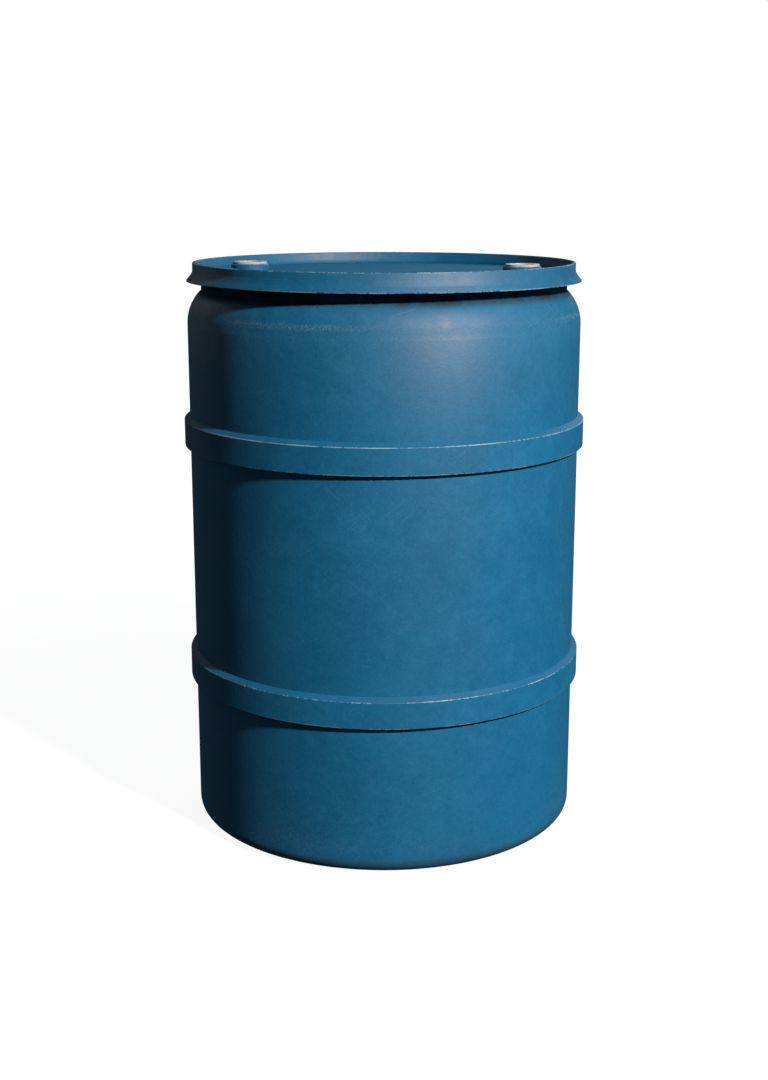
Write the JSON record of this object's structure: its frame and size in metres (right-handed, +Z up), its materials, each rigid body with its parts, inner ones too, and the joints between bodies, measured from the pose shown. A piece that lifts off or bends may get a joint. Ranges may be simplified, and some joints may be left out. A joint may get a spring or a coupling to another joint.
{
  "type": "rain barrel",
  "caption": "Upright closed-top blue plastic drum used as a rain barrel, with a lifting ring round the head, raised rolling hoops and screwed bungs in the head.",
  "frame": {"origin": "centre of the base, on the ground", "axes": "+Z up along the drum's axis; -Y is the front; the bungs lie near the X axis"},
  "size_m": [0.5964, 0.5964, 0.841],
  "materials": {
    "shell_blue": "satin moulded polyethylene, lightly scuffed",
    "hoop_blue": "satin moulded polyethylene with worn pale edges",
    "head_blue": "satin moulded polyethylene, dusty",
    "ring_blue": "satin moulded polyethylene with worn pale edges",
    "boss_blue": "injection moulded, satin",
    "plug_white": "off-white moulded polyethylene",
    "gasket_black": "matte rubber"
  },
  "bodies": {
    "drum": {"drum_shell": "shell_blue", "upper_rolling_hoop": "hoop_blue", "lower_rolling_hoop": "hoop_blue", "top_head": "head_blue", "handling_ring": "ring_blue", "bung_boss_left": "boss_blue", "bung_boss_right": "boss_blue"},
    "gasket_left": {"bung_gasket_left": "gasket_black"},
    "bung_left": {"bung_plug_left": "plug_white"},
    "gasket_right": {"bung_gasket_right": "gasket_black"},
    "bung_right": {"bung_plug_right": "plug_white"}
  },
  "joints": [
    {"name": "left_bung_rise", "type": "slide", "parent": "drum", "child": "gasket_left", "axis": [0, 0, 1], "range_m": [0, 0.024]},
    {"name": "left_bung_turn", "type": "hinge", "parent": "gasket_left", "child": "bung_left", "pos_m": [-0.20055, 0.03681, 0.8356], "axis": [0, 0, 1], "range_deg": [0, 2160]},
    {"name": "right_bung_rise", "type": "slide", "parent": "drum", "child": "gasket_right", "axis": [0, 0, 1], "range_m": [0, 0.024]},
    {"name": "right_bung_turn", "type": "hinge", "parent": "gasket_right", "child": "bung_right", "pos_m": [0.20055, -0.03681, 0.8356], "axis": [0, 0, 1], "range_deg": [0, 2160]}
  ],
  "couplings": [
    {"joint": "left_bung_rise", "follows": "left_bung_turn", "m_per_rad": 0.00063662},
    {"joint": "right_bung_rise", "follows": "right_bung_turn", "m_per_rad": 0.00063662}
  ]
}
